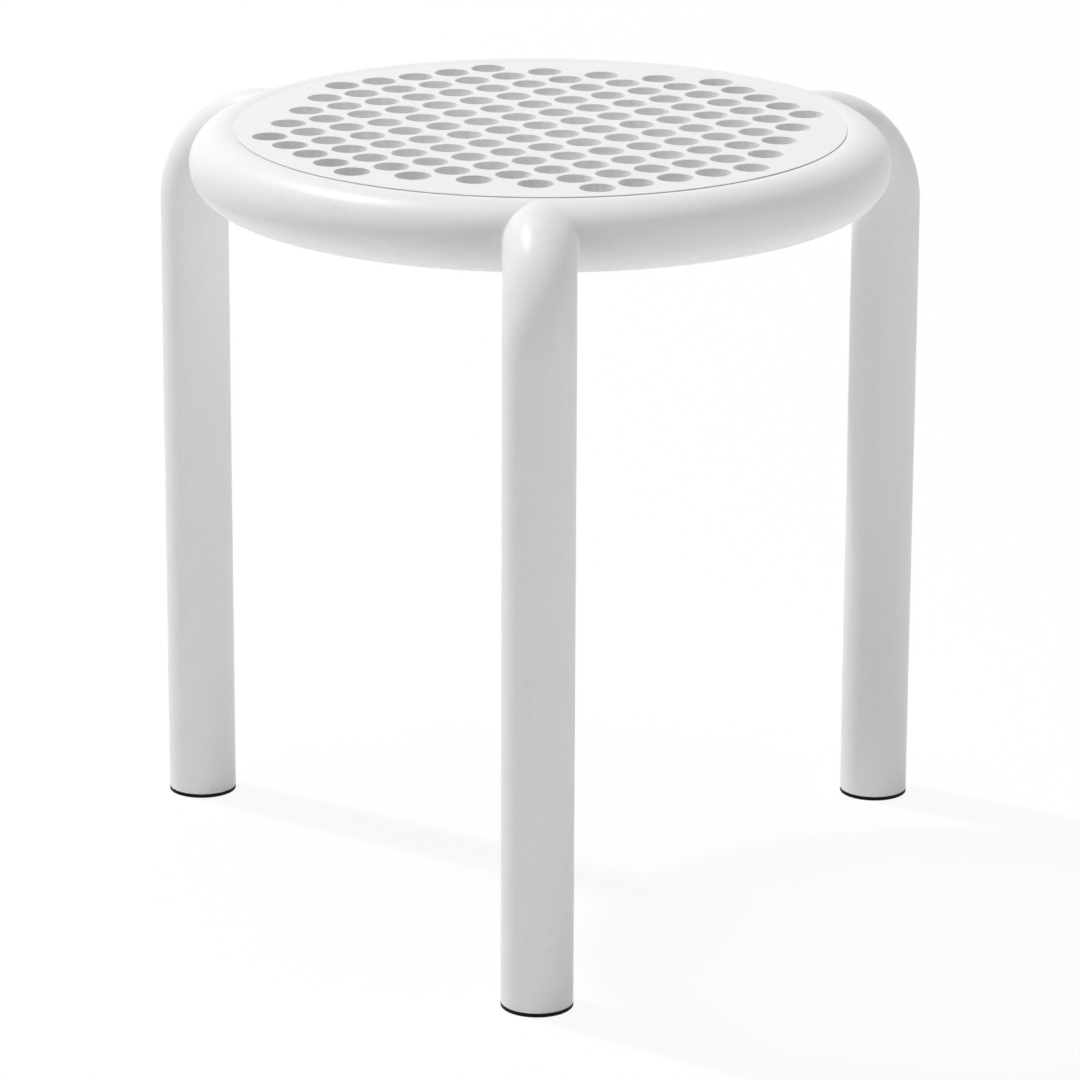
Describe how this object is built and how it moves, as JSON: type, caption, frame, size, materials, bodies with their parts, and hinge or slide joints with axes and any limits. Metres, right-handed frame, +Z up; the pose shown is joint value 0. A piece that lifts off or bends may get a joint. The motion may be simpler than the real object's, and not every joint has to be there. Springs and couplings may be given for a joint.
{
  "type": "stool",
  "caption": "Round low stool with a perforated metal seat plate set in a bent tube ring, on bent tube legs that end in push-in glides.",
  "frame": {"origin": "on the floor, at the middle of the stool's outline seen from above; the seat's own axis is 28.35 mm further back, at +Y", "axes": "+Z up through the seat, -Y towards the front leg and the picture's side, +X to the right as seen from there"},
  "size_m": [0.448, 0.4546, 0.44],
  "materials": {
    "white_powder_coat": "fine-grained semi-gloss powder coat over welded steel",
    "black_plastic": "moulded, matte"
  },
  "bodies": {
    "root": {"seat_ring": "white_powder_coat", "seat_plate": "white_powder_coat", "leg_front": "white_powder_coat", "leg_back_right": "white_powder_coat", "leg_back_left": "white_powder_coat", "glide_front": "black_plastic", "glide_back_right": "black_plastic", "glide_back_left": "black_plastic", "leg_weld_front_1": "white_powder_coat", "leg_weld_front_2": "white_powder_coat", "leg_weld_back_right_1": "white_powder_coat", "leg_weld_back_right_2": "white_powder_coat", "leg_weld_back_left_1": "white_powder_coat", "leg_weld_back_left_2": "white_powder_coat", "plate_weld_1": "white_powder_coat", "plate_weld_2": "white_powder_coat", "plate_weld_3": "white_powder_coat", "plate_weld_4": "white_powder_coat", "plate_weld_5": "white_powder_coat", "plate_weld_6": "white_powder_coat"}
  },
  "joints": []
}
